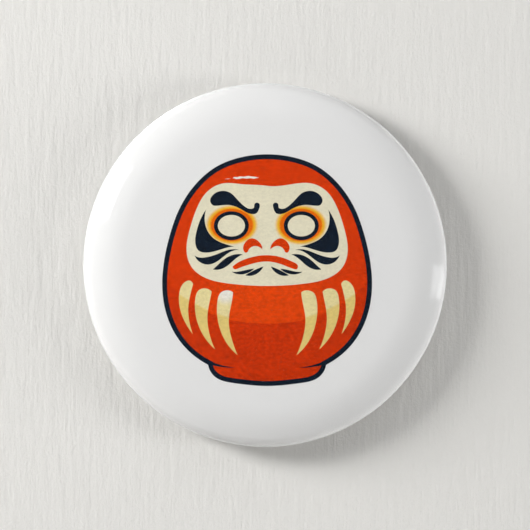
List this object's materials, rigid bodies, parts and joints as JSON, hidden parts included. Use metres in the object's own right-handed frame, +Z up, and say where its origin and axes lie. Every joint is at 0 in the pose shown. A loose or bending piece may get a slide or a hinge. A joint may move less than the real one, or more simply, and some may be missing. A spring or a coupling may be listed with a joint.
{
  "type": "pin-back button badge",
  "caption": "Round domed tin button badge with a printed daruma doll picture under clear film and a safety pin held in its recessed back plate.",
  "frame": {"origin": "centre of the plane on which the crimped rim lies, at the badge's back", "axes": "+Z up the picture, +X to the picture's right, +Y out of the back towards the wearer; the picture faces -Y"},
  "size_m": [0.057, 0.006, 0.057],
  "materials": {
    "tinplate_front": "bright tinplate, folded edge",
    "white_paper": "smooth white paper under clear film",
    "clear_film": "clear glossy polyester film",
    "tinplate_back": "satin tinplate with fine rolling lines",
    "pin_steel": "bright nickel-plated steel wire",
    "clasp_steel": "bright nickel-plated sheet",
    "ink_navy": "flat navy ink, faintly mottled, under gloss film",
    "ink_red": "red-orange ink, mottled, under gloss film",
    "ink_dark_red": "darker red-orange ink, mottled",
    "ink_cream": "cream ink, faintly mottled",
    "ink_orange": "orange ink fading to yellow",
    "ink_gold": "pale gold ink, darker below",
    "ink_white": "dry brush white"
  },
  "bodies": {
    "badge": {"front_shell": "tinplate_front", "printed_paper": "white_paper", "clear_film": "clear_film", "back_plate": "tinplate_back", "print_navy": "ink_navy", "print_red": "ink_red", "print_dark_red": "ink_dark_red", "print_cream": "ink_cream", "print_orange": "ink_orange", "print_gold": "ink_gold", "print_white": "ink_white"},
    "safety_pin": {"pin_wire": "pin_steel", "clasp_cap": "clasp_steel"},
    "needle": {"pin_needle": "pin_steel"}
  },
  "joints": [
    {"name": "pin_flip", "type": "hinge", "parent": "badge", "child": "safety_pin", "pos_m": [0, -0.00255, 0.0026], "axis": [1, 0, 0], "range_deg": [0, 90]},
    {"name": "pin_open", "type": "hinge", "parent": "safety_pin", "child": "needle", "pos_m": [-0.0152, -0.00128, -0.0008], "axis": [0, 0.7071, 0.7071], "range_deg": [0, 30]}
  ]
}
